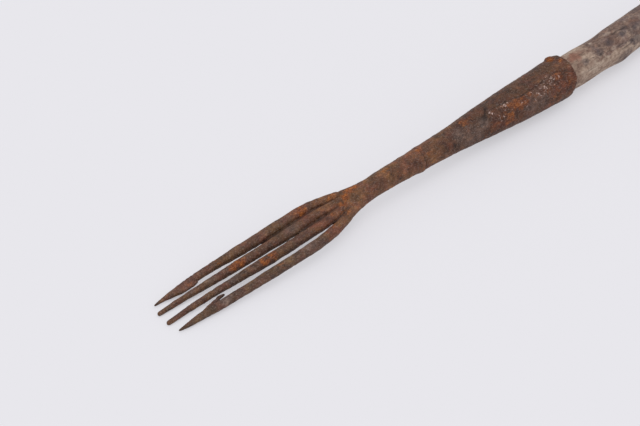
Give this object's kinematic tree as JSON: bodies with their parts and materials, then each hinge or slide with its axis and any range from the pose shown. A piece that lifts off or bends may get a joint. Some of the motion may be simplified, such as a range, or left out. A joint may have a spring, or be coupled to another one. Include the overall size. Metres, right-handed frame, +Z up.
{
  "type": "fishing harpoon",
  "caption": "Forged iron fish spear: a row of slender tines, the outer ones barbed, on a round neck and a rolled socket nailed to a long weathered wooden shaft.",
  "frame": {"origin": "on the table under the shaft's axis, halfway along the spear's length", "axes": "+X from the points to the butt of the shaft, +Y to the far side, away from the large barb, +Z up from the table the spear lies on"},
  "size_m": [1.2625, 0.04, 0.0335],
  "materials": {
    "weathered_wood": "bare wood, weathered grey-brown, dry and slightly knotty",
    "forged_iron": "forged iron under a dull, mottled brown rust skin",
    "rusted_iron": "iron under a thick orange rust crust"
  },
  "bodies": {
    "root": {"shaft": "weathered_wood", "socket": "forged_iron", "neck": "forged_iron", "tine_far_outer": "forged_iron", "tine_far_inner": "forged_iron", "tine_near_inner": "forged_iron", "tine_near_outer": "forged_iron", "socket_nail": "rusted_iron"}
  },
  "joints": []
}
